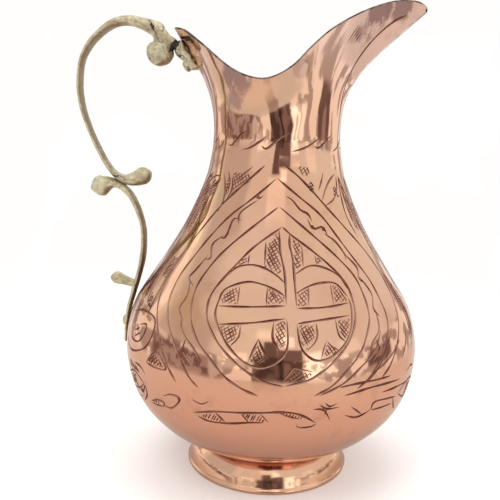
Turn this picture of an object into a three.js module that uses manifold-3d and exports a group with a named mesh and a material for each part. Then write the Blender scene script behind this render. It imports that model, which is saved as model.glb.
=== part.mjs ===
// Copper water jug on a low foot ring, with a cast brass scroll handle riveted to its back.
// Millimetres, +Z up. The spout points along +X and the handle lies on the -X side.
// The origin is under the middle of the whole outline, on the plane that the foot rests on.

import * as THREE from "three";
import { mergeVertices } from "three/addons/utils/BufferGeometryUtils.js";
import Module from "manifold-3d";

// ---- driving dimensions, measured from the jug's own axis ----

const AXIS_X = 13.84; // place of the jug's axis in the part's frame
const SHEET = 1; // copper sheet
const FIT = 0.3; // gap between pieces that touch

// Outside of the wall from the edge of the flat bottom to the narrowest ring of the neck.
const BASE_Z = 9;
const NECK_Z = 180;
const NECK_R = 32.8;
const BODY_CURVE = [
  [22, BASE_Z],
  [42, 16.6],
  [61, 29.2],
  [72.9, 45.1],
  [77.6, 67],
  [73.6, 89.2],
  [61.7, 108.7],
  [47.2, 132.5],
  [36.9, 156.3],
  [34, 168],
  [33, 175],
  [NECK_R, NECK_Z],
];

// Edge of the mouth, from the spout's tip round one side to the back lip.
const RIM = [
  [73.2, 0, 241.8],
  [71.8, 3.8, 243.7],
  [65.6, 9.4, 245.1],
  [54.5, 14.6, 243.9],
  [39.6, 21.9, 238],
  [25.2, 29.2, 229.2],
  [15.6, 33.4, 220.6],
  [6.2, 36.2, 210.8],
  [-3.9, 37.2, 205.2],
  [-13, 36, 205.2],
  [-24, 31.8, 210],
  [-38.1, 22, 221.3],
  [-48, 10.8, 228.8],
  [-54.2, 0, 231],
];

// The wall leaves the neck upright and flares: shares of its run and rise at the curve's handles.
const UPRIGHT_RISE = 0.43;
const SPOUT_FLARE = { run: 0.2, rise: 0.524 };
const LIP_FLARE = { run: 0.43, rise: 0.59 };

const COLUMNS = 48;
const COLUMN_CROWDING = 0.1; // how far the columns crowd towards the spout
const BODY_ROWS = 17;
const MOUTH_ROWS = 10;

// Foot ring, outside and inside, from the flat face that it rests on up to the jug's underside.
const FOOT_OUTSIDE = [
  [43.2, 0],
  [43.7, 0.6],
  [43.5, 2.4],
  [42.6, 6],
  [41.6, 11],
  [40.9, 15.7],
];
const FOOT_INSIDE = [
  [39.8, 15.15],
  [40.6, 10.6],
  [41.5, 5.8],
  [41.3, 2.6],
  [40.9, 1.4],
  [41.2, 0],
];
const FOOT_SEGMENTS = 64;
const SOLDER_BEAD = [
  [39.9, 12],
  [39.4, 14.4],
  [37, 13.4],
];

// Castings: spines of [x, z, thickness] with round ends, all in the plane of the spout.
const CAST_WIDTH = 8.6;
const EDGE_ROUND = 1.3;
const UPPER_SCROLL = [
  [-63.6, 230.4, 8],
  [-71, 233.4, 6],
  [-77.8, 234.7, 5.2],
  [-85.4, 233.1, 4.7],
  [-92.2, 228.6, 4.1],
  [-98.1, 222.3, 3.4],
  [-101.9, 215, 3.1],
  [-103.6, 205, 3],
  [-103, 194, 2.9],
  [-99.9, 183, 2.6],
  [-95.2, 172, 2.6],
  [-90.4, 163, 2.8],
  [-86, 157, 3.2],
  [-80.6, 153.7, 4.4],
  [-75, 153.8, 7],
  [-70.4, 155.6, 8.2],
];
const LOWER_SCROLL = [
  [-92.2, 150.3, 10.8],
  [-88.6, 151.1, 6.6],
  [-85.2, 151, 3.9],
  [-81.2, 149.2, 3.4],
  [-77, 145.2, 3.3],
  [-73.2, 138.2, 3.2],
  [-70.5, 129.4, 3],
  [-69.8, 120, 3],
  [-70.7, 110.4, 3],
  [-72.8, 101.4, 3],
  [-75.4, 92.6, 3],
  [-77.7, 84, 2.8],
  [-78.9, 76, 2.7],
  [-79.3, 66, 2.7],
];
const OUTER_BUD = [
  [-74.4, 96.8, 3.6],
  [-79, 98.2, 4.2],
  [-84, 99.8, 6],
];
const SCROLL_STEPS = 40;
const BUD_STEPS = 6;
const CAP_STEPS = 6;

// Bracket between the upper scroll and the lip: stem, hanging knob and lug.
const STEM_TOP = [
  [-61.8, 233.8],
  [-60.2, 232],
  [-56.8, 228.2],
  [-54, 225.2],
];
const KNOB = { x: -61, z: 220.1, r: 6.5 };
const KNOB_STEPS = 14;
const KNOB_ARC = [0.3, -4.1]; // angles at which the knob leaves the lug and meets the stem
const STEM_UNDERSIDE = [-64.7, 227];
const LUG_PLACES = [1.88, 1.82, 1.76, 1.7, 1.64]; // where the lug follows the lip, as in wallPoint
const LUG_THICKNESS = 2.7;

// Rivets: grip from inner to outer head, heads round, at a height on the jug's back.
const RIVET_R = 1.7;
const HEAD_R = 3;
const HEAD_H = 1.5;
const HEAD_SEAT = 0.5; // the inner heads' gap to the curved wall
const RIVET_SEGMENTS = 16;
const UPPER_PLACES = [1.83, 1.7];
const UPPER_GRIP = 4.8;
const LOWER_PLACE = 0.4;
const LOWER_GRIP = 5;

// ---- materials ----

const COPPER = new THREE.MeshStandardMaterial({ color: 0xc98266, roughness: 0.2, metalness: 1 });
const BRASS = new THREE.MeshStandardMaterial({ color: 0xc9bd92, roughness: 0.38, metalness: 1 });
const SOLDER = new THREE.MeshStandardMaterial({ color: 0xb9b6b0, roughness: 0.45, metalness: 1 });

// ---- solids ----

const wasm = await Module();
wasm.setup();

function solidOf(geometry) {
  const bare = geometry.clone();
  bare.deleteAttribute("normal");
  bare.deleteAttribute("uv");
  const merged = mergeVertices(bare, 1e-4);
  return new wasm.Manifold(
    new wasm.Mesh({
      numProp: 3,
      vertProperties: new Float32Array(merged.attributes.position.array),
      triVerts: new Uint32Array(merged.index.array),
    }),
  );
}

function geometryOf(solid) {
  const mesh = solid.getMesh();
  const geometry = new THREE.BufferGeometry();
  geometry.setAttribute("position", new THREE.BufferAttribute(mesh.vertProperties, 3));
  geometry.setIndex(new THREE.BufferAttribute(mesh.triVerts, 1));
  geometry.computeVertexNormals();
  return geometry;
}

const jug = new THREE.Group();
jug.position.x = AXIS_X;

function addPiece(name, geometry, material) {
  const piece = new THREE.Mesh(geometry, material);
  piece.name = name;
  jug.add(piece);
}

// A turned piece about +Z, from a profile of [radius, height] that goes up its outside.
function turned(profile, segments) {
  const points = profile.map(([r, z]) => new THREE.Vector2(r, z));
  return new THREE.LatheGeometry(points, segments).rotateX(Math.PI / 2);
}

// ---- jug wall ----

const bodyCurve = new THREE.SplineCurve(BODY_CURVE.map(([r, z]) => new THREE.Vector2(r, z)));
const rimSide = RIM.map(([x, y, z]) => new THREE.Vector3(x, y, z));
const rimOtherSide = RIM.slice(1, -1).reverse().map(([x, y, z]) => new THREE.Vector3(x, -y, z));
const rimCurve = new THREE.CatmullRomCurve3([...rimSide, ...rimOtherSide], true);

// The rim's point at an angle about the axis, found by halving the stretch that holds it.
function rimPoint(angle) {
  const upright = Math.abs(Math.atan2(Math.sin(angle), Math.cos(angle)));
  let low = 0;
  let high = 0.5;
  for (let i = 0; i < 40; i++) {
    const middle = (low + high) / 2;
    const p = rimCurve.getPoint(middle);
    if (Math.atan2(p.y, p.x) < upright) low = middle;
    else high = middle;
  }
  const found = rimCurve.getPoint((low + high) / 2);
  if (Math.sin(angle) < 0) found.y = -found.y;
  return found;
}

function mouthPoint(angle, share) {
  const end = rimPoint(angle);
  const start = new THREE.Vector3(NECK_R * Math.cos(angle), NECK_R * Math.sin(angle), NECK_Z);
  const height = end.z - NECK_Z;
  const towardsSpout = (1 + Math.cos(angle)) / 2;
  const run = THREE.MathUtils.lerp(LIP_FLARE.run, SPOUT_FLARE.run, towardsSpout);
  const rise = THREE.MathUtils.lerp(LIP_FLARE.rise, SPOUT_FLARE.rise, towardsSpout);
  const first = start.clone().setZ(NECK_Z + UPRIGHT_RISE * height);
  const second = start.clone().lerp(end, run).setZ(NECK_Z + rise * height);
  return new THREE.CubicBezierCurve3(start, first, second, end).getPoint(share);
}

// Outside of the wall. place is 0 at the bottom's edge, 1 at the neck and 2 at the mouth's edge.
function wallPoint(angle, place) {
  if (place > 1) return mouthPoint(angle, place - 1);
  const p = bodyCurve.getPoint(place);
  return new THREE.Vector3(p.x * Math.cos(angle), p.x * Math.sin(angle), p.y);
}

function wallNormal(angle, place) {
  const step = 0.01;
  const along = wallPoint(angle, Math.min(place + step, 2));
  along.sub(wallPoint(angle, Math.max(place - step, 0)));
  const around = wallPoint(angle + step, place).sub(wallPoint(angle - step, place));
  return around.cross(along).normalize();
}

function offWall(angle, place, distance) {
  return wallPoint(angle, place).addScaledVector(wallNormal(angle, place), distance);
}

function columnAngle(column) {
  const share = (2 * column) / COLUMNS;
  return Math.PI * (share - COLUMN_CROWDING * Math.sin(Math.PI * share));
}

// The jug is turned as a plain lathe shape, and each of its columns is then drawn to the wall's line.
function wallGeometry() {
  const places = [];
  for (let row = 0; row <= BODY_ROWS; row++) places.push(row / BODY_ROWS);
  for (let row = 1; row <= MOUTH_ROWS; row++) places.push(1 + row / MOUTH_ROWS);
  const placesDown = [...places].reverse();
  const rows = 2 * places.length + 2;
  const profile = Array.from({ length: rows }, (_, i) => new THREE.Vector2(1, i));
  profile[0].x = 0;
  profile[rows - 1].x = 0;
  const geometry = new THREE.LatheGeometry(profile, COLUMNS);
  const position = geometry.attributes.position;
  for (let column = 0; column <= COLUMNS; column++) {
    const angle = columnAngle(column % COLUMNS);
    const line = [
      new THREE.Vector3(0, 0, BASE_Z),
      ...places.map((place) => wallPoint(angle, place)),
      ...placesDown.map((place) => offWall(angle, place, -SHEET)),
      new THREE.Vector3(0, 0, BASE_Z + SHEET),
    ];
    line.forEach((p, i) => position.setXYZ(column * rows + i, p.x, p.y, p.z));
  }
  return geometry;
}

// ---- castings ----

// Closed outline of a strap of changing thickness, with round ends or a flat first end.
function strapOutline(spine, steps, flatStart) {
  const curve = new THREE.CatmullRomCurve3(spine.map((p) => new THREE.Vector3(...p)));
  const points = curve.getSpacedPoints(steps);
  const headings = points.map((_, i) => {
    const a = points[Math.max(i - 1, 0)];
    const b = points[Math.min(i + 1, steps)];
    return Math.atan2(b.y - a.y, b.x - a.x);
  });
  const edgePoint = (i, turn) => {
    const p = points[i];
    const angle = headings[i] + turn;
    return new THREE.Vector2(p.x + (p.z / 2) * Math.cos(angle), p.y + (p.z / 2) * Math.sin(angle));
  };
  const cap = (i, turn) => {
    const arc = [];
    for (let k = 1; k < CAP_STEPS; k++) arc.push(edgePoint(i, turn - (Math.PI * k) / CAP_STEPS));
    return arc;
  };
  const left = points.map((_, i) => edgePoint(i, Math.PI / 2));
  const right = points.map((_, i) => edgePoint(i, -Math.PI / 2)).reverse();
  const startCap = flatStart ? [] : cap(0, -Math.PI / 2);
  return [...left, ...cap(steps, Math.PI / 2), ...right, ...startCap];
}

// An outline in the XZ plane made solid across Y, with rounded long edges.
function cast(outline) {
  const depth = CAST_WIDTH - 2 * EDGE_ROUND;
  const inset = EDGE_ROUND * 0.6;
  const geometry = new THREE.ExtrudeGeometry(new THREE.Shape(outline), {
    depth,
    steps: 1,
    bevelThickness: EDGE_ROUND,
    bevelSize: inset,
    bevelOffset: -inset,
    bevelSegments: 2,
  });
  return geometry.translate(0, 0, -depth / 2).rotateX(Math.PI / 2);
}

function bracketOutline() {
  const lipSide = LUG_PLACES.map((place) => offWall(Math.PI, place, FIT));
  const lugBack = LUG_PLACES.map((place) => offWall(Math.PI, place, FIT + LUG_THICKNESS)).reverse();
  const knobArc = [];
  for (let k = 0; k <= KNOB_STEPS; k++) {
    const angle = THREE.MathUtils.lerp(KNOB_ARC[0], KNOB_ARC[1], k / KNOB_STEPS);
    knobArc.push([KNOB.x + KNOB.r * Math.cos(angle), KNOB.z + KNOB.r * Math.sin(angle)]);
  }
  const outline = [
    ...STEM_TOP,
    ...[...lipSide, ...lugBack].map((p) => [p.x, p.z]),
    ...knobArc,
    STEM_UNDERSIDE,
  ];
  return outline.map(([x, z]) => new THREE.Vector2(x, z));
}

// ---- rivets ----

// Turns +Z to point straight out of the jug's back at a place on its wall.
function backFrame(place) {
  const outward = wallNormal(Math.PI, place);
  const turn = new THREE.Matrix4().makeRotationY(Math.atan2(outward.x, outward.z));
  return turn.setPosition(wallPoint(Math.PI, place));
}

function headArc(level, side) {
  const arc = [];
  for (const share of [0, 0.4, 0.75]) {
    const angle = (Math.PI / 2) * share;
    arc.push([HEAD_R * Math.cos(angle), level + side * HEAD_H * Math.sin(angle)]);
  }
  arc.push([0, level + side * HEAD_H]);
  return arc;
}

const INNER_LEVEL = -SHEET - HEAD_SEAT;

function rivet(place, grip) {
  const outerLevel = INNER_LEVEL + grip;
  const profile = [
    ...headArc(INNER_LEVEL, -1).reverse(),
    [RIVET_R, INNER_LEVEL],
    [RIVET_R, outerLevel],
    ...headArc(outerLevel, 1),
  ];
  return turned(profile, RIVET_SEGMENTS).applyMatrix4(backFrame(place));
}

// Room for a rivet: its hole right through, and a flat seat for each of its heads.
function rivetRoom(place, grip) {
  const hole = RIVET_R + FIT;
  const seat = HEAD_R + FIT;
  const innerSeat = INNER_LEVEL + FIT;
  const outerSeat = INNER_LEVEL + grip - FIT;
  const reach = 4;
  const profile = [
    [0, innerSeat - reach],
    [seat, innerSeat - reach],
    [seat, innerSeat],
    [hole, innerSeat],
    [hole, outerSeat],
    [seat, outerSeat],
    [seat, outerSeat + reach],
    [0, outerSeat + reach],
  ];
  return solidOf(turned(profile, RIVET_SEGMENTS).applyMatrix4(backFrame(place)));
}

// ---- assembly ----

const upperRooms = UPPER_PLACES.map((place) => rivetRoom(place, UPPER_GRIP));
const lowerRoom = rivetRoom(LOWER_PLACE, LOWER_GRIP);
const cutBy = (solid, rooms) => rooms.reduce((left, room) => left.subtract(room), solid);

const wall = cutBy(solidOf(wallGeometry()), [...upperRooms, lowerRoom]);
addPiece("jug_body", geometryOf(wall), COPPER);

const footProfile = [...FOOT_OUTSIDE, ...FOOT_INSIDE, FOOT_OUTSIDE[0]];
addPiece("foot_ring", turned(footProfile, FOOT_SEGMENTS), COPPER);
addPiece("foot_solder_bead", turned([...SOLDER_BEAD, SOLDER_BEAD[0]], FOOT_SEGMENTS), SOLDER);

const bracket = cutBy(solidOf(cast(bracketOutline())), upperRooms);
addPiece("handle_bracket", geometryOf(bracket), BRASS);
addPiece("handle_upper_scroll", cast(strapOutline(UPPER_SCROLL, SCROLL_STEPS, true)), BRASS);

const lowerStrap = solidOf(cast(strapOutline(LOWER_SCROLL, SCROLL_STEPS, false)));
const outerBud = solidOf(cast(strapOutline(OUTER_BUD, BUD_STEPS, false)));
addPiece("handle_lower_scroll", geometryOf(cutBy(lowerStrap.add(outerBud), [lowerRoom])), BRASS);

UPPER_PLACES.forEach((place, i) => {
  addPiece(`upper_rivet_${i + 1}`, rivet(place, UPPER_GRIP), BRASS);
});
addPiece("lower_rivet", rivet(LOWER_PLACE, LOWER_GRIP), BRASS);

export default jug;
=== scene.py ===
import itertools
import math

import bmesh
import bpy
import numpy as np
from mathutils import Matrix, Vector
from mathutils.geometry import delaunay_2d_cdt


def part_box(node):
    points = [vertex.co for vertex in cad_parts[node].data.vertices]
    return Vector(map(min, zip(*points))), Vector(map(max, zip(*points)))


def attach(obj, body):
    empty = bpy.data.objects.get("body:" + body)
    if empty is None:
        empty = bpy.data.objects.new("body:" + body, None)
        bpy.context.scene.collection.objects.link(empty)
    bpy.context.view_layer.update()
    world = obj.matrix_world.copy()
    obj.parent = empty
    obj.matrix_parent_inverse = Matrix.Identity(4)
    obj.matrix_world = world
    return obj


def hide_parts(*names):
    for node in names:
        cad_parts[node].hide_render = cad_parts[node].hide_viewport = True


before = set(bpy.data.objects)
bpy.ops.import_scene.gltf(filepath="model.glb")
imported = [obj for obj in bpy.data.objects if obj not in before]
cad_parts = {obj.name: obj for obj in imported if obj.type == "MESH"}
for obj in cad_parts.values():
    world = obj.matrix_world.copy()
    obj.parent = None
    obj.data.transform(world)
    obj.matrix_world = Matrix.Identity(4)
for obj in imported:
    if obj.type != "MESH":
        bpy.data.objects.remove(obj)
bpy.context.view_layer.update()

# Lengths below are millimetres, measured from the jug's own axis and from the floor.
MM = 0.001
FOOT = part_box("foot_ring")
AXIS = Vector(((FOOT[0][0] + FOOT[1][0]) / 2, (FOOT[0][1] + FOOT[1][1]) / 2, 0))

# The wall: radius and height up the outside of the body.
BODY_CURVE = [
    (22, 9), (42, 16.6), (61, 29.2), (72.9, 45.1), (77.6, 67),
    (73.6, 89.2), (61.7, 108.7), (47.2, 132.5), (36.9, 156.3), (34, 168), (33, 175), (32.8, 180),
]  # fmt: skip
PAST_NECK = (33, 186)
PROFILE_SAMPLES = 700
NECK_Z = 180
NECK_R = 32.8
SHEET = 1.0
# One side of the lip, from the spout's tip to the point of the back lip.
RIM = [
    (73.2, 0, 241.8), (71.9, 3.8, 243.7), (65.6, 9.4, 245.1), (54.5, 14.6, 243.9),
    (39.6, 21.9, 238), (25.2, 29.2, 229.2), (15.6, 33.4, 220.6), (6.2, 36.2, 210.8),
    (-3.9, 37.2, 205.2), (-13, 36, 205.2), (-24, 31.8, 210), (-38.1, 22, 221.3),
    (-48, 10.8, 228.8), (-54.2, 0, 231),
]  # fmt: skip
RIM_SAMPLES = 1700
# The mouth's unrolled height, in radians of turn.
MOUTH_SPAN = 1.55
# How the mouth's wall leaves the neck and meets the lip, as shares of its height and of its reach. The last
# two are given at the back and at the spout.
LEAVES_NECK = 0.43
MEETS_LIP_REACH = (0.43, 0.2)
MEETS_LIP_HEIGHT = (0.59, 0.524)
DENTS = [  # around, up, height of the wave, phase
    (3, 2.1, 0.10, 0.4), (5, 3.4, 0.07, 1.9), (8, 5.2, 0.035, 4.1), (13, 8.3, 0.018, 2.7),
    (19, 13.0, 0.008, 5.3),
]  # fmt: skip
DENTS_FADE = 0.25

# A cut's full width and depth, the spacing of its points, how far it sways and after how many points, how its
# ends taper and how much it swells between them.
GROOVE_WIDTH = 1.08
GROOVE_DEPTH = 0.34
SHALLOWEST = 0.09 * GROOVE_DEPTH
STROKE_STEP = 1.7
SWAY = 0.16
SWAY_EVERY = 6
TAPER = 0.6
SWELL = 0.22
# The width of a straight cut, as a share of a full line's.
STRAIGHT_SHARE = 0.9
# The wall's own points between the cuts: their spacing in radians, and how far they keep from a cut.
GRID_STEP = 0.062
GRID_CLEAR = 0.45
GRID_SHIFT = 0.25
# Cuts keep this far, in radians, from the spout's and the handle's middle line, and from the lip.
SEAM_CLEAR = 0.004
LIP_CLEAR = 0.05


def catmull_rom(points, count):
    """Points along a smooth curve through all the given points."""
    p = np.array(points, float)
    p = np.vstack([2 * p[0] - p[1], p, 2 * p[-1] - p[-2]])
    spans = len(p) - 3
    place = np.linspace(0, spans, count)
    i = np.minimum(place.astype(int), spans - 1)
    t = (place - i)[:, None]
    a, b, c, d = p[i], p[i + 1], p[i + 2], p[i + 3]
    return 0.5 * (
        2 * b + (c - a) * t + (2 * a - 5 * b + 4 * c - d) * t**2 + (3 * b - a - 3 * c + d) * t**3
    )


PROFILE = catmull_rom([*BODY_CURVE, PAST_NECK], PROFILE_SAMPLES)
PROFILE = PROFILE[PROFILE[:, 1] <= NECK_Z]
STEPS = np.linalg.norm(np.diff(PROFILE, axis=0), axis=1)
# The unrolled height, in radians of turn, keeps every shape on the wall undistorted.
UNROLLED = np.concatenate([[0], np.cumsum(STEPS * 2 / (PROFILE[1:, 0] + PROFILE[:-1, 0]))])
NECK_V = UNROLLED[-1]
TOP_V = NECK_V + MOUTH_SPAN
OTHER_SIDE = [(x, -y, z) for x, y, z in reversed(RIM[1:-1])]
RIM_CURVE = catmull_rom(OTHER_SIDE[-2:] + RIM + OTHER_SIDE[:2], RIM_SAMPLES)
RIM_ANGLE = np.unwrap(np.arctan2(RIM_CURVE[:, 1], RIM_CURVE[:, 0]))


def mouth_points(angle, t):
    """Points on the mouth, t running from the neck to the lip."""
    turn = np.abs(np.arctan2(np.sin(angle), np.cos(angle)))
    side = np.sign(np.sin(angle))
    end = np.stack([np.interp(turn, RIM_ANGLE, RIM_CURVE[:, k]) for k in range(3)], -1)
    end[..., 1] *= side
    start = np.stack([NECK_R * np.cos(angle), NECK_R * np.sin(angle), np.full_like(angle, NECK_Z)], -1)
    height = end[..., 2:3] - NECK_Z
    towards_spout = (1 + np.cos(angle))[..., None] / 2
    reach, rise = (
        back + (front - back) * towards_spout for back, front in (MEETS_LIP_REACH, MEETS_LIP_HEIGHT)
    )
    first = start + np.array([0, 0, 1.0]) * height * LEAVES_NECK
    second = start + (end - start) * reach
    second[..., 2:3] = NECK_Z + rise * height
    t = t[..., None]
    return (1 - t) ** 3 * start + 3 * (1 - t) ** 2 * t * first + 3 * (1 - t) * t**2 * second + t**3 * end


def smooth_wall(angle, v):
    """Points on the wall at a turn about the axis and an unrolled height."""
    r = np.interp(v, UNROLLED, PROFILE[:, 0])
    z = np.interp(v, UNROLLED, PROFILE[:, 1])
    body = np.stack([r * np.cos(angle), r * np.sin(angle), z], -1)
    t = np.clip((v - NECK_V) / MOUTH_SPAN, 0, 1)
    return np.where((v > NECK_V)[..., None], mouth_points(angle, t), body)


def wave(angle, v):
    """The slight unevenness of a hand-raised wall: two sets of waves that fade out at the lip."""
    total = np.zeros_like(angle)
    for around, up, height, phase in DENTS:
        total += height * np.cos(around * angle + phase) * np.cos(up * v + 2.3 * phase)
        total += 0.6 * height * np.sin((around + 1) * angle - up * 1.3 * v + phase)
    return total * np.clip((TOP_V - v) / DENTS_FADE, 0, 1)


def normals_of(surface, angle, v, gap=0.004):
    """Unit normals of a surface, pointing away from the jug's inside."""
    across = surface(angle + gap, v) - surface(angle - gap, v)
    along = surface(angle, np.minimum(v + gap, TOP_V)) - surface(angle, np.maximum(v - gap, 0))
    n = np.cross(across, along)
    return n / np.linalg.norm(n, axis=-1, keepdims=True)


def wall(angle, v):
    """Points on the wall with its unevenness."""
    base = smooth_wall(angle, v)
    return base + normals_of(smooth_wall, angle, v) * wave(angle, v)[..., None]


def radius_at(v):
    """The body's radius at an unrolled height."""
    return np.interp(v, UNROLLED, PROFILE[:, 0])


def turn_and_height(places):
    """Unrolled places of (degrees from the side towards the spout, height)."""
    degrees, z = np.array(places, float).T
    on_body = np.interp(z, PROFILE[:, 1], UNROLLED)
    on_mouth = NECK_V + (z - NECK_Z) / NECK_R
    return np.stack([np.radians(degrees - 90), np.where(z > NECK_Z, on_mouth, on_body)], -1)


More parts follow.
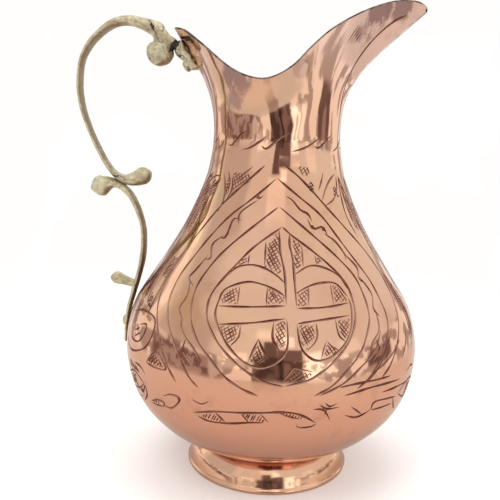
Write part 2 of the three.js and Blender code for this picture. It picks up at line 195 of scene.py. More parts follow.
# ---------------------------------------------------------------- the engraving
# Every line is a list of (degrees from the side towards the spout, height).
CURVES = [
    # the ogee round the strapwork, left and right
    [(5, 137), (-7, 130), (-14, 124), (-22, 114), (-26, 106), (-25, 98), (-20, 90), (-15, 84), (-9, 78),
     (-2, 73), (5, 71)],
    [(5, 137), (10, 133.5), (20, 127), (29, 120), (35, 112.5), (36, 105), (34, 97), (29, 89), (23, 82),
     (18, 77), (13, 73.5), (5, 71)],
    # the two loops of the strap
    [(-21, 108), (-22, 102), (-21, 97), (-16, 89), (-12, 84), (-7, 80), (-2, 79), (3, 82), (6, 88),
     (6, 99)],
    [(34, 106), (34, 102), (32, 96), (28, 89), (23, 84), (18, 82), (14, 83), (10.5, 88), (9.5, 97)],
    [(3, 136), (3.5, 130), (4, 125), (5.5, 118), (6, 111), (6, 104)],
    [(9, 134), (9, 129), (10, 123), (10, 113), (10, 103)],
    # the two arches
    [(-23, 112), (-18, 118), (-11, 120), (-4, 119), (2, 116), (5.5, 113)],
    [(-22, 102), (-21, 108), (-17, 111), (-10, 113), (-3, 112), (2, 110), (6, 107.5)],
    [(10, 116.5), (18, 120), (26, 119), (33, 115), (35.5, 109)],
    [(10, 109), (17, 112), (24, 113), (30, 112), (34, 106)],
    # the bar
    [(-22, 102), (-8, 103), (6, 104)], [(-20, 95), (-6, 97), (6, 99)],
    [(10, 103), (20, 103), (34, 104)], [(9.6, 97), (18, 98), (32.5, 99)],
    # second, third and outermost ogee
    [(3, 146), (-10, 138), (-22, 129), (-30, 120), (-34, 111), (-34, 103), (-31, 95), (-26, 87), (-20, 80),
     (-14, 73), (-9, 69), (-3, 66)],
    [(3, 146), (16, 138), (27, 130), (36, 122), (42, 114), (43, 105), (41, 97), (37, 90), (33, 83),
     (27, 76.5), (21, 70), (15, 66)],
    [(1, 159), (-12, 151), (-28, 141), (-38, 131), (-44, 121), (-47.5, 111), (-47, 102), (-43, 94),
     (-38, 87), (-33, 79), (-28, 71), (-24, 66)],
    [(1, 159), (16, 151), (31, 142), (39, 133), (47, 121), (52, 110), (52, 99), (49, 90), (43, 80),
     (37, 72), (31, 67)],
    [(-8, 165), (-23, 156), (-38, 145), (-49, 132), (-54, 120), (-56, 108), (-53, 99), (-47, 89), (-42, 80),
     (-37, 72), (-33, 66)],
    [(7, 165), (19, 159), (33, 149), (46, 138), (58, 127), (64, 116), (65, 106), (61, 96), (55, 85),
     (48, 75), (42, 69)],
    # the vine between the second and the third
    [(-8, 151), (-11, 149), (-14, 150.5)], [(-11, 149), (-22, 142.5), (-22, 137)],
    [(-20, 139), (-26, 139), (-28, 131), (-32, 130)],
    [(-29, 132), (-35, 127), (-33, 121), (-37, 120)], [(-35, 122), (-39, 115), (-41, 111), (-36, 108)],
    [(-40, 111), (-37.5, 104), (-38.5, 98), (-34, 93)], [(-36, 95), (-33, 89), (-27, 83), (-24, 78)],
    [(-31, 87), (-31, 81), (-26, 76)],
    [(7, 151), (12, 149), (17, 144.5), (22, 142.5), (24, 139)],
    [(21, 141), (24, 136), (31, 136.5), (33, 131)],
    [(30, 134), (37, 130), (41, 124), (40, 121)], [(40, 125), (46, 118), (44.5, 113), (48, 110)],
    [(45, 114), (48.5, 106), (45.5, 100), (47, 96)], [(46, 99), (44, 91), (39, 86), (37, 80)],
    [(41, 88), (42, 83), (38, 78)],
    # the tulips under the bar
    [(-11, 96), (-11, 91), (-14, 86.5)], [(1, 98), (1, 91), (4, 85)], [(-7, 81), (-5.5, 86), (-4, 91)],
    [(-4, 91), (-2.5, 87), (0, 82)],
    [(17, 97.5), (16.5, 91), (12.5, 86)], [(25, 98.5), (25, 92), (27.5, 88.5)],
    [(20, 90), (18.5, 86), (17.5, 82.5)], [(20, 90), (22, 87), (24.5, 85.5)],
    # the long leaves of the shoulder, towards the handle and towards the spout
    [(-45, 160), (-40, 153), (-38, 147), (-40, 141)], [(-36, 159), (-33, 153), (-36, 147)],
    [(-41, 161), (-37, 156), (-36, 150)],
    [(-48, 159), (-60, 157), (-66, 150), (-67, 142), (-67, 132), (-65, 124)],
    [(-50, 153), (-50, 145), (-50, 138), (-55, 130), (-60, 123)],
    [(-57, 155), (-55, 147), (-57, 140), (-60, 130)],
    [(-60, 160), (-70, 155), (-77, 143), (-80, 128), (-81, 118)],
    [(-68, 140), (-72, 130), (-77, 122), (-81, 116)],
    [(-71, 122), (-74, 112), (-74, 104), (-71, 96)],
    [(-55, 121), (-57, 113), (-57, 105), (-56, 97), (-55, 91)],
    [(-63, 121), (-65, 113), (-65, 104), (-61, 95)],
    [(-71, 88), (-60, 92), (-50, 91), (-48, 85), (-51, 77), (-59, 72), (-66, 71), (-72, 75)],
    [(-65, 82), (-65, 77), (-58, 77), (-54, 82), (-54, 87), (-60, 85)], [(-63, 81), (-58, 84)],
    [(-62, 78.5), (-56, 82.5)],
    [(-50, 70), (-44, 77), (-38, 71), (-44, 69.5), (-50, 70)],
    [(-82, 112), (-77, 106), (-75, 98), (-76, 90), (-78, 78)],
    [(-84, 112), (-84, 100), (-82, 88), (-78, 78)],
    [(41, 162), (37, 157), (33, 153)], [(56, 161), (47, 158), (40, 154), (34, 148)],
    [(57, 160), (53, 154), (46, 149), (36, 146)],
    [(60, 160), (64, 152), (66, 142), (64, 132)], [(60, 160), (56, 150), (55, 141), (59, 131)],
    [(60, 160), (60, 148), (61, 136)],
    [(72, 160), (78, 150), (80, 138), (78, 126), (73, 116)],
    [(72, 160), (70, 148), (69, 136), (70, 125), (73, 116)],
    [(72, 160), (74, 146), (74, 132), (73, 116)],
    [(68, 112), (73, 105), (75, 95), (72, 84), (66, 76)], [(68, 112), (68, 102), (68, 92), (66, 76)],
    [(64, 88), (60, 80), (56, 75)],
    [(82, 112), (79, 104), (79, 94), (81, 84), (85, 76)], [(82, 112), (86, 104), (87, 94), (85, 76)],
    # the band below: long leaves and small marks
    [(-27, 53), (-18, 56), (-9, 57.3), (-2, 58.2), (3, 58.8), (8, 58.4), (12, 56.5), (17, 52.4)],
    [(-25, 52), (-21, 50.4), (-13, 51), (-6, 52.6), (-1, 53)],
    [(17, 52.4), (15, 50.8), (11, 50.6), (9.6, 52.2)], [(-27, 60), (-23, 58.6), (-20, 61)],
    [(-41, 56), (-36, 59), (-32, 58.6), (-33.5, 55), (-37, 51.4), (-41, 51.4)],
    [(-50, 49), (-45, 52.4), (-41, 53), (-41, 51), (-45, 49.6), (-50, 49)],
    [(-58, 55), (-55, 52.4), (-52, 57), (-52, 52), (-58, 45.6)], [(-66, 57), (-60, 54), (-54, 50.6)],
    [(-52, 58), (-60, 61), (-68, 58), (-76, 53)], [(-52, 58), (-58, 53), (-66, 51), (-76, 53)],
    [(-50, 63), (-54, 66), (-60, 66)],
    [(-78, 60), (-82, 63), (-86, 61)], [(-80, 50), (-84, 54), (-88, 52)],
    [(17, 62), (20, 59.4), (25, 59.6)], [(15, 60), (19, 59), (22, 53)], [(19, 63), (21, 60.6), (24, 62)],
    [(20, 60), (19.4, 56)],
    [(27, 55), (33, 52.4), (40, 55)], [(29, 59), (32, 56), (35, 53)],
    [(39, 54), (40, 58), (47, 57.4), (54, 56)], [(39, 54), (46, 53.4), (52, 53)],
    [(24, 69), (33, 69.6), (48, 69)], [(26, 65), (38, 66.4), (55, 65)], [(43, 62), (53, 61.6), (64, 60)],
    [(31, 67), (39, 73), (45, 80), (50, 88)], [(39, 73), (48, 78), (56, 84)],
    [(17, 66), (26, 71), (33, 77), (40, 83), (45, 91)],
    [(55, 57), (63, 61), (71, 59), (79, 53)], [(55, 57), (62, 52.5), (70, 50.5), (79, 53)],
    [(60, 66), (65, 68), (70, 66)],
    [(82, 61), (86, 57), (83, 52)],
    # the crease where the spout's side meets its front
    [(83, 227.6), (80, 225), (76.6, 218), (73.5, 207), (71, 195), (69.5, 186)],
    # the row of ticks round the neck
    [(-86, 172), (-80, 176), (-75, 180)], [(-72, 174.5), (-66, 176), (-60.5, 180.5)],
    [(-64, 171.5), (-57, 173), (-51, 177.5)],
    [(-48, 174.5), (-42, 173.5), (-33, 178.5), (-25, 181)],
    [(-31, 171.5), (-23, 172.5), (-15, 175.5), (-8, 178.5)],
    [(-13, 174), (-8, 172.5), (3, 178), (13, 181)], [(12, 171.5), (22, 173), (31, 175.5), (39, 178.5)],
    [(33, 174.5), (38, 173.5), (47, 177), (55, 180)], [(56, 171.5), (63, 173), (71, 175.5), (78, 178.5)],
    [(73, 174), (79, 173), (85, 176.5)],
]  # fmt: skip

STRAIGHTS = [
    [(-14, 111.5), (-13.5, 103)], [(-2, 112), (-2, 103.5)], [(-12, 124.5), (-12, 120)],
    [(-4, 130.5), (-4, 119)],
    [(16, 112), (15, 103.2)], [(27, 112.5), (26, 103.5)], [(15.5, 129.5), (15, 119.5)],
    [(22, 125), (22, 120)],
    [(4, 72), (8, 79), (15, 77)], [(-18, 56), (-14.4, 51)], [(-9, 57.3), (-6, 52.2)],
    [(-2.6, 58), (0.6, 53)], [(3, 58.8), (8, 56), (11, 55)],
    [(51, 57.5), (55, 50), (58, 47)], [(-18, 164), (-30, 158)], [(-69, 52), (-63, 47), (-56, 49)],
]  # fmt: skip

# Fields of cross-hatching, as outlines.
HATCHED = [
    [(-3.6, 129.5), (2.6, 134.5), (3.6, 125), (5, 117), (2, 116.6), (-3.6, 119.4)],
    [(-12.4, 124.5), (-12.4, 120.5), (-18, 118.8), (-16, 121.8)],
    [(10.4, 132.6), (15, 129.2), (14.6, 120), (10.6, 117.4)],
    [(22.4, 124.6), (27, 121.2), (22.4, 120.5)],
    [(-21.4, 103), (-20.4, 107.4), (-17, 110.4), (-14.4, 111), (-13.9, 103.4)],
    [(-1.6, 111.4), (2, 109.6), (5.6, 107.4), (5.6, 104.6), (-1.6, 104)],
    [(10.5, 109), (15.6, 111), (14.8, 103.6), (10.5, 103.6)],
    [(27.3, 111.9), (30, 111.4), (33.3, 106.6), (33.2, 104.6), (26.4, 104)],
    [(-20, 94.8), (-11.5, 95.6), (-11.6, 90), (-14.8, 87)],
    [(1.4, 97.6), (5.6, 98.4), (5.6, 88), (4, 85.6), (1.4, 91)],
    [(-4, 90), (-0.6, 82.6), (-2, 79.8), (-6.6, 81)],
    [(10, 96.6), (16.6, 97), (16.2, 91), (12.4, 86.6), (10.6, 89)],
    [(25.4, 98), (31.6, 98), (29.4, 91), (27.4, 88.8), (25.4, 92)],
    [(20, 89), (24, 86), (22.6, 84), (18, 82.8)],
    [(5, 71.8), (8, 78.5), (15, 76.6), (12.6, 73.6)],
    [(-36, 161), (-22, 161), (-18, 157), (-33, 149)],
    [(16, 165), (28, 164.5), (27, 159.5), (20, 160)],
]  # fmt: skip
# The same, cut broader: the leaves of the flanks.
FLANKS = [
    [(-40, 159), (-37, 158), (-36, 150), (-39, 146.4)],
    [(-46, 158), (-56, 156), (-60, 150), (-55, 146), (-50, 149)],
    [(-57, 154), (-64, 155), (-66, 148), (-66.4, 140), (-66, 131), (-61, 129), (-58, 140), (-56, 147)],
    [(-62, 158), (-70, 154), (-76.5, 142), (-79, 128), (-77, 124), (-69, 139), (-68, 150)],
    [(-64, 121), (-70, 120), (-73, 112), (-73, 104), (-70, 97), (-64, 97), (-65.6, 104), (-65.6, 113)],
    [(-56, 118), (-62, 118), (-64, 112), (-63, 107), (-58, 108)],
    [(-58, 99), (-62, 101), (-61, 95), (-57, 94)],
    [(-49, 70.4), (-44, 76.4), (-38.6, 71.2), (-44, 70)],
    [(-83.4, 110), (-83, 100), (-81, 89), (-78.5, 80), (-77, 90), (-76.4, 98), (-78, 105)],
    [(-90, 116), (-85, 108), (-85, 94), (-90, 84)], [(-66, 66), (-58, 65), (-54, 62), (-66, 61)],
    [(61, 158), (63.6, 152), (65.4, 142), (63.6, 133), (61.2, 136), (60.4, 148)],
    [(70.5, 147), (69.5, 136), (70.5, 126), (72.6, 118), (73.4, 132), (73.4, 146)],
    [(68.6, 110), (72.4, 105), (74.3, 95), (71.6, 85), (67.2, 79), (68.6, 92)],
    [(90, 152), (85, 142), (84, 130), (90, 120)],
    [(-60, 60), (-66, 58), (-66, 52), (-59, 53.4)], [(63, 60), (68, 59.6), (67, 51.4), (62, 53)],
    [(26, 158), (30, 156), (29, 151), (25, 154)], [(48, 156), (53, 154), (52, 149), (47, 151)],
]  # fmt: skip
# Slanted fields: in the band below the panels, and the fan under the spout's rim.
BAND = [
    [(-24.4, 52.6), (-18.4, 55.8), (-14.8, 51), (-22, 50.6)],
    [(-8.8, 57), (-2.8, 57.8), (0.2, 53.2), (-5.8, 52.6)],
    [(2.4, 58.8), (8, 58.4), (12.6, 56), (10.8, 54.8), (6.4, 55.6)],
    [(-48, 51.8), (-43, 52.6), (-44, 50), (-48.6, 49.6)],
    [(53, 221.5), (62, 219), (67, 224.5), (59, 227.5)],
]  # fmt: skip
# Each group of fields with its cuts' width, as a share of a full line's, their spacing and their leans.
GROUPS = [
    (HATCHED, 0.8, 1.55, (38, 118)),
    (FLANKS, 1.15, 1.45, (38, 118)),
    (BAND, 0.88, 1.25, (62,)),
]
# A hatching cut is found by short steps. One with too few, or broken by a hollow in the outline, is left out.
HATCH_STEP = 0.25
FEWEST_STEPS = 6
LONGEST_FOR_ITS_STEPS = 1.3
# How uneven the hatching is: its lean in degrees, then its place and its bend as shares of the spacing.
LEAN_VARIES = 6
PLACE_VARIES = 0.16
BEND_VARIES = 0.12


def inside(polygon, point):
    """Whether a point lies in a polygon."""
    hit = False
    for (x0, y0), (x1, y1) in zip(polygon, np.roll(polygon, -1, axis=0)):
        if (y0 > point[1]) != (y1 > point[1]):
            if point[0] < x0 + (point[1] - y0) * (x1 - x0) / (y1 - y0):
                hit = not hit
    return hit


def hatch_lines(field, spacing, leans, rng):
    """Short, slightly bent cuts that fill a field."""
    polygon = turn_and_height(field)
    centre = polygon.mean(axis=0)
    r = float(radius_at(centre[1]))
    size = np.linalg.norm(polygon - centre, axis=1).max()
    gap = spacing / r
    step = HATCH_STEP / r
    lines = []
    for lean in leans:
        lean = math.radians(lean + rng.uniform(-LEAN_VARIES, LEAN_VARIES))
        along = np.array([math.cos(lean), math.sin(lean)])
        across = np.array([-along[1], along[0]])
        for k in np.arange(-size, size, gap):
            start = centre + across * (k + rng.uniform(-PLACE_VARIES, PLACE_VARIES) * gap)
            run = [p for p in np.arange(-size, size, step) if inside(polygon, start + along * p)]
            if len(run) < FEWEST_STEPS:
                continue
            low, high = run[0], run[-1]
            if high - low > step * len(run) * LONGEST_FOR_ITS_STEPS:
                continue
            bend = across * rng.uniform(-BEND_VARIES, BEND_VARIES) * gap
            middle = start + along * (low + high) / 2 + bend
            lines.append(np.array([start + along * low, middle, start + along * high]))
    return lines


def lengths(points):
    """The length of each step along a line."""
    return np.linalg.norm(np.diff(points, axis=0), axis=1)


def along_legs(points, count):
    """Evenly spaced points along straight legs."""
    travelled = np.concatenate([[0], np.cumsum(lengths(points))])
    place = np.linspace(0, travelled[-1], count)
    return np.stack([np.interp(place, travelled, points[:, k]) for k in (0, 1)], -1)


def strokes():
    """Every cut as (points along its middle, sideways directions, half-widths) in the unrolled plane."""
    rng = np.random.default_rng(7)
    wanted = [(turn_and_height(curve), 1.0, catmull_rom) for curve in CURVES]
    wanted += [(turn_and_height(legs), STRAIGHT_SHARE, along_legs) for legs in STRAIGHTS]
    for fields, share, spacing, leans in GROUPS:
        for field in fields:
            wanted += [(line, share, catmull_rom) for line in hatch_lines(field, spacing, leans, rng)]
    made = []
    for number, (points, share, through) in enumerate(wanted):
        r = float(radius_at(points[:, 1].mean()))
        count = max(4, int(lengths(points).sum() * r / STROKE_STEP) + 1)
        order = np.arange(count)
        line = through(points, count)
        knots = np.arange(0, count + 2 * SWAY_EVERY, SWAY_EVERY)
        sway = SWAY / r * np.interp(order, knots, rng.uniform(-1, 1, len(knots)))
        ahead = np.gradient(line, axis=0)
        ahead /= np.linalg.norm(ahead, axis=1, keepdims=True)
        side = np.stack([-ahead[:, 1], ahead[:, 0]], -1)
        line = line + side * sway[:, None]
        from_end = np.minimum(order, order[::-1]) / max(1, min(3, count // 2))
        taper = np.clip(from_end, 0, 1) ** TAPER
        swell = 1 + SWELL * np.sin(order * 0.7 + number)
        from_axis = np.linalg.norm(smooth_wall(line[:, 0], line[:, 1])[:, :2], axis=1)
        made.append((line, side, GROOVE_WIDTH / 2 * share * taper * swell / from_axis))
    return made


def outline_strokes():
    """Points and edges that follow each cut's two sides and its bottom, and the cuts' straight segments."""
    points, edges, segments = [], [], []
    for line, side, half in strokes():
        turn, v = line[:, 0], line[:, 1]
        keep = (turn > -math.pi + SEAM_CLEAR) & (turn < -SEAM_CLEAR) & (v < TOP_V - LIP_CLEAR)
        line, side, half = line[keep], side[keep], half[keep]
        if len(line) < 3:
            continue
        segments.append(np.hstack([line[:-1], line[1:], half[:-1, None], half[1:, None]]))
        first, inner = len(points), slice(1, -1)
        reach = side[inner] * half[inner, None]
        ring = [line[0], *(line[inner] + reach), line[-1], *(line[inner] - reach)[::-1]]
        points += ring
        edges += [(first + k, first + (k + 1) % len(ring)) for k in range(len(ring))]
        bottom = range(len(points), len(points) + len(line) - 2)
        points += list(line[inner])
        chain = [first, *bottom, first + len(line) - 1]
        edges += list(zip(chain[:-1], chain[1:]))
    return np.array(points), edges, np.vstack(segments)


def plain_points(segments):
    """The wall's own points between the cuts, and those round the edge of the half plane."""
    columns = int(math.pi / GRID_STEP)
    rows = int(TOP_V / GRID_STEP)
    grid = []
    for row in range(1, rows):
        shift = GRID_SHIFT if row % 2 else -GRID_SHIFT
        for column in range(1, columns):
            grid.append((-math.pi + math.pi * (column + shift) / columns, TOP_V * row / rows))
    grid = np.array(grid)
    grid = grid[width_left(grid, segments) * radius_at(grid[:, 1]) < -GRID_CLEAR]
    border = [(-math.pi + math.pi * c / columns, h) for h in (0.0, TOP_V) for c in range(columns + 1)]
    border += [(a, TOP_V * row / rows) for a in (-math.pi, 0.0) for row in range(1, rows)]
    return np.vstack([grid, np.array(border)])


def engraved_plane():
    """Half the unrolled wall in triangles whose edges follow every cut, with the depth at each point."""
    points, edges, segments = outline_strokes()
    every = np.vstack([points, plain_points(segments)])
    out = delaunay_2d_cdt([Vector(p) for p in every], edges, [], 0, 1e-7)
    flat = np.array([tuple(p) for p in out[0]])
    triangles = np.array([f for f in out[2] if len(f) == 3])
    depth = width_left(flat, segments) * radius_at(flat[:, 1]) * GROOVE_DEPTH * 2 / GROOVE_WIDTH
    depth[depth < SHALLOWEST] = 0
    return flat, triangles, depth


def width_left(places, segments):
    """How far each place lies inside the nearest cut's edge; below zero outside every cut."""
    a, b = segments[:, 0:2], segments[:, 2:4]
    h0, h1 = segments[:, 4], segments[:, 5]
    run = b - a
    length = (run**2).sum(axis=1)
    best = np.empty(len(places))
    batch = 800
    for start in range(0, len(places), batch):
        p = places[start : start + batch, None, :]
        t = np.clip(((p - a) * run).sum(-1) / length, 0, 1)
        gap = np.linalg.norm(p - (a + run * t[..., None]), axis=-1)
        best[start : start + batch] = (h0 + (h1 - h0) * t - gap).max(axis=1)
    return best


# ---------------------------------------------------------------- meshes
def add_mesh(name, points, faces, smooth=True):
    """A mesh object from points in millimetres about the jug's axis."""
    mesh = bpy.data.meshes.new(name)
    placed = np.asarray(points, float) * MM + np.array(AXIS)
    mesh.from_pydata(placed.tolist(), [], [list(map(int, f)) for f in faces])
    if smooth:
        mesh.shade_smooth()
    mesh.update()
    obj = bpy.data.objects.new(name, mesh)
    bpy.context.scene.collection.objects.link(obj)
    return obj


def belongs(obj, node, material):
    """Hides the CAD node a piece stands for, hangs the piece under the root body, and gives it its slot and
    material.
    """
    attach(obj, "root")
    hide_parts(node)
    obj.data.materials.clear()
    obj.data.materials.append(material)


def only_used(points, faces, *others):
    """Drops the points that no face uses."""
    used, inverse = np.unique(np.asarray(faces), return_inverse=True)
    return [points[used], inverse.reshape(np.shape(faces)), *[o[used] for o in others]]


def circle(count):
    """Evenly spaced angles round a circle."""
    return [2 * math.pi * k / count for k in range(count)]


def grid_faces(rows, columns):
    """Quads of a grid of points, its columns running round."""
    faces = []
    for i in range(rows - 1):
        for j in range(columns):
            k = (j + 1) % columns
            faces.append((i * columns + j, i * columns + k, (i + 1) * columns + k, (i + 1) * columns + j))
    return faces


def last_ring(rows, columns):
    """The face that closes a grid's last row."""
    return tuple(range((rows - 1) * columns, rows * columns))


def engraved_wall():
    """The outside of the jug and, as a second piece, the cut lines in it."""
    flat, triangles, depth = engraved_plane()
    plane = np.vstack([flat, flat * [-1, 1]])
    cut = np.concatenate([depth, depth])
    count = len(flat)
    faces = np.vstack([triangles, triangles[:, ::-1] + count])
    # Both halves meet at the spout and behind the handle.
    turn = np.abs(flat[:, 0])
    on_seam = np.isclose(turn, math.pi, atol=1e-5) | np.isclose(turn, 0, atol=1e-5)
    twin = np.arange(2 * count)
    twin[count:][on_seam] = np.flatnonzero(on_seam)
    faces = twin[faces]
    angle, v = plane[:, 0], plane[:, 1]
    normal = normals_of(wall, angle, v)
    points = wall(angle, v) - normal * cut[:, None]
    a, b, c = (points[faces[:, k]] for k in range(3))
    inside_out = (np.cross(b - a, c - a) * normal[faces[:, 0]]).sum(axis=1) < 0
    faces[inside_out] = faces[inside_out][:, ::-1]
    in_cut = (cut[faces] > 0).any(axis=1)
    shaded_side, skin_faces, skin_normals = only_used(points, faces[~in_cut], normal)
    outside = add_mesh("wall_outside", shaded_side, skin_faces)
    outside.data.normals_split_custom_set_from_vertices(skin_normals.tolist())
    line_points, line_faces = only_used(points, faces[in_cut])
    return outside, add_mesh("engraved_lines", line_points, line_faces, smooth=False)


LINING_COLUMNS = 216
LINING_ROWS = 90
# The lip's rolled edge, from the inside over to the outside: share of the sheet's thickness, rise above it.
LIP_ROLL = [(0.93, 0.22), (0.7, 0.36), (0.4, 0.38), (0.12, 0.26), (0.0, 0.04), (-0.02, -0.25)]


def lining():
    """The tinned inside and, as a second piece, the edge of the lip."""
    around = np.linspace(-math.pi, math.pi, LINING_COLUMNS, endpoint=False)
    angle = np.tile(around, (LINING_ROWS, 1))
    v = np.tile(np.linspace(0, TOP_V, LINING_ROWS)[:, None], (1, LINING_COLUMNS))
    normal = normals_of(wall, angle, v)
    inner = wall(angle, v) - normal * SHEET
    outer = wall(angle[-1:], v[-1:])
    up = outer - wall(angle[-1:], v[-1:] - 0.02)
    up /= np.linalg.norm(up, axis=-1, keepdims=True)
    rolled = [outer - normal[-1:] * SHEET * share + up * lift for share, lift in LIP_ROLL]
    tinned = add_mesh("tin_lining", inner.reshape(-1, 3), grid_faces(LINING_ROWS, LINING_COLUMNS))
    lip = np.concatenate([inner[-1:], *rolled])
    return tinned, add_mesh("lip_edge", lip.reshape(-1, 3), grid_faces(len(lip), LINING_COLUMNS))


def disc(name, z, radius):
    """The round base of the jug, slightly uneven, with its centre mark."""
    rings = [radius * share for share in (1, 0.93, 0.8, 0.6, 0.4, 0.2)] + [1.6, 0.9, 0.3]
    columns = 72
    points = []
    for r in rings:
        for a in circle(columns):
            dip = 0.3 if r < 1 else 0.05 * math.cos(3 * a + r)
            points.append((r * math.cos(a), r * math.sin(a), z + (dip if r < radius else 0)))
    return add_mesh(name, points, [*grid_faces(len(rings), columns), last_ring(len(rings), columns)])


def turned(name, profile, uneven=0.05):
    """A closed profile of (radius, height) spun round the axis, a little out of true."""
    segments = 180
    points = []
    for r, z in profile:
        for a in circle(segments):
            r_here = r + uneven * math.sin(3 * a + 0.4 * z) + 0.4 * uneven * math.sin(11 * a + z)
            points.append((r_here * math.cos(a), r_here * math.sin(a), z))
    faces = grid_faces(len(profile), segments)
    last = (len(profile) - 1) * segments
    faces += [(last + j, last + (j + 1) % segments, (j + 1) % segments, j) for j in range(segments)]
    return add_mesh(name, points, faces)


# ---------------------------------------------------------------- the foot
# Up the outside from the floor, over the top and down the inside.
FOOT_PROFILE = [
    (41.3, 0), (43.1, 0), (43.75, 0.35), (44.0, 1.0), (43.95, 1.7), (43.6, 2.3), (43.25, 2.8), (43.0, 3.6),
    (42.55, 5.2), (42.05, 7.0), (41.3, 8.9), (40.3, 10.7), (39.1, 12.3), (37.9, 13.7), (36.9, 14.8),
    (36.4, 14.3), (37.4, 13.0), (38.5, 11.5), (39.5, 9.8), (40.3, 8.0), (40.8, 6.2), (41.2, 4.4), (41.3, 2.6),
    (40.95, 1.4), (41.0, 0.5),
]  # fmt: skip
FILLET_PROFILE = [(38.9, 11.9), (38.0, 13.1), (37.0, 14.0), (35.7, 13.3), (36.8, 12.3), (38.1, 11.5)]
# The flat base of the jug, outside and inside, as height and radius.
BASE_OUTSIDE = (9.0, 22.05)
BASE_INSIDE = (10.0, 21.8)


# ---------------------------------------------------------------- the handle
# Each spine is a list of (x, z, thickness).
UPPER_SCROLL = [
    (-63.2, 230.6, 8), (-71, 233.4, 6), (-77.8, 234.7, 5.2), (-85.4, 233.1, 4.7), (-92.2, 228.6, 4.1),
    (-98.1, 222.3, 3.5), (-101.9, 215, 3.1), (-103.5, 205, 2.95), (-102.9, 194, 2.85), (-99.9, 183, 2.7),
    (-95.2, 172, 2.7), (-90.4, 163, 2.8), (-86, 157, 3.2), (-80.6, 153.6, 4.8), (-75, 153.9, 7.6),
    (-70.6, 155.6, 9.4),
]  # fmt: skip
LOWER_SCROLL = [
    (-92.2, 150, 11.4), (-88.6, 151.2, 7.4), (-85.2, 151.2, 4.4), (-81.2, 149.4, 4), (-77, 145.2, 3.5),
    (-73.2, 138.2, 3.2), (-70.5, 129.4, 3), (-69.8, 120, 3), (-70.7, 110.4, 3), (-72.8, 101.4, 3),
    (-75.4, 92.6, 3), (-77.7, 84, 2.8), (-78.9, 76, 2.7), (-79.3, 66, 2.7),
]  # fmt: skip
OUTER_BUD = [(-75.8, 97, 3.4), (-79.6, 98.4, 4.6), (-84.2, 99.9, 6.8)]
STEM = [(-64.8, 231, 6.8), (-62, 228.6, 7.8), (-60.4, 224.6, 10), (-61.1, 221, 13.8), (-61.5, 219.6, 14.6)]
NECKLET = [(-60.5, 227, 5), (-56.6, 225, 5.2), (-52.6, 222.4, 4.6)]
# The lug on the back of the lip: share of the mouth's height, thickness.
LUG = [(0.885, 3.4), (0.845, 5.2), (0.8, 6.4), (0.755, 4.4), (0.71, 5.6), (0.67, 4.6), (0.645, 2.6)]
LUG_SUNK = 0.75
LUG_BEND = 13
# Half the width across the jug of the scrolls and stem, the short neck and the lug.
CAST_HALF_WIDTH = 4.3
NECKLET_HALF_WIDTH = 3.4
LUG_HALF_WIDTH = 4.6
SECTION_POINTS = 26
END_RINGS = 6
END_NARROWS = 0.12
END_TIP = 0.05

VOXEL = 0.42
SOFTENINGS = 5
LUMP_SIZE = 4.2
LUMP_HEIGHT = 0.42

RIVET_RADIUS = 3.0
RIVET_HEIGHT = 1.5
RIVET_DENTS = 0.03
# The head's outline, as shares of its radius and height, from under the surface to the top.
RIVET_RINGS = [(1.0, -0.5), (1.0, 0.0), (0.97, 0.28), (0.87, 0.56), (0.7, 0.79), (0.47, 0.93), (0.22, 0.99)]
# The upper rivets' places as shares of the mouth's height, and how far their outer heads stand off the wall.
UPPER_RIVETS = {"upper_rivet_1": 0.83, "upper_rivet_2": 0.70}
LOWER_RIVET_Z = 76
LUG_TOP = 4.6
TANG_TOP = 3.1


def rounded_end(place, forward, radius):
    """Rings that close an end of a casting like half an egg."""
    rings = []
    for k in range(1, END_RINGS + 1):
        turn = math.pi / 2 * k / END_RINGS
        ahead = place + forward * radius * math.sin(turn)
        narrow = 1 - END_NARROWS * (k / END_RINGS) ** 2
        rings.append((ahead, max(radius * math.cos(turn), END_TIP), narrow))
    return rings


def sweep(spine, count, half_width=CAST_HALF_WIDTH):
    """A bar of oval section along a spine, with round ends."""
    line = catmull_rom(spine, count)
    middle, radius = line[:, :2], line[:, 2] / 2
    ahead = np.gradient(middle, axis=0)
    ahead /= np.linalg.norm(ahead, axis=1, keepdims=True)
    start = rounded_end(middle[0], -ahead[0], radius[0])[::-1]
    body = [(middle[i], radius[i], 1.0) for i in range(count)]
    end = rounded_end(middle[-1], ahead[-1], radius[-1])
    directions = np.pad(ahead, ((END_RINGS, END_RINGS), (0, 0)), mode="edge")
    points = []
    for (place, half, narrow), forward in zip(start + body + end, directions):
        across = np.array([-forward[1], forward[0]])
        for a in circle(SECTION_POINTS):
            u = math.cos(a) * half
            x, z = place + across * u
            points.append((x, math.sin(a) * half_width * narrow, z))
    rows = len(directions)
    faces = grid_faces(rows, SECTION_POINTS)
    faces += [tuple(range(SECTION_POINTS))[::-1], last_ring(rows, SECTION_POINTS)]
    return points, faces


def cast(name, *bars):
    """Several bars run together into one casting with soft edges and an uneven surface."""
    points, faces = [], []
    for bar_points, bar_faces in bars:
        first = len(points)
        points += bar_points
        faces += [tuple(first + k for k in f) for f in bar_faces]
    obj = add_mesh(name, points, faces)
    fix = bmesh.new()
    fix.from_mesh(obj.data)
    bmesh.ops.recalc_face_normals(fix, faces=fix.faces)
    fix.to_mesh(obj.data)
    fix.free()
    remesh = obj.modifiers.new("run together", "REMESH")
    remesh.mode = "VOXEL"
    remesh.voxel_size = VOXEL * MM
    remesh.use_smooth_shade = True
    smooth = obj.modifiers.new("soften", "SMOOTH")
    smooth.factor = 0.5
    smooth.iterations = SOFTENINGS
    lumps = bpy.data.textures.new(name + "_lumps", "CLOUDS")
    lumps.noise_scale = LUMP_SIZE * MM
    uneven = obj.modifiers.new("uneven", "DISPLACE")
    uneven.texture = lumps
    uneven.texture_coords = "GLOBAL"
    uneven.strength = LUMP_HEIGHT * MM
    uneven.mid_level = 0.5
    keep_modifiers_result(obj)
    return obj


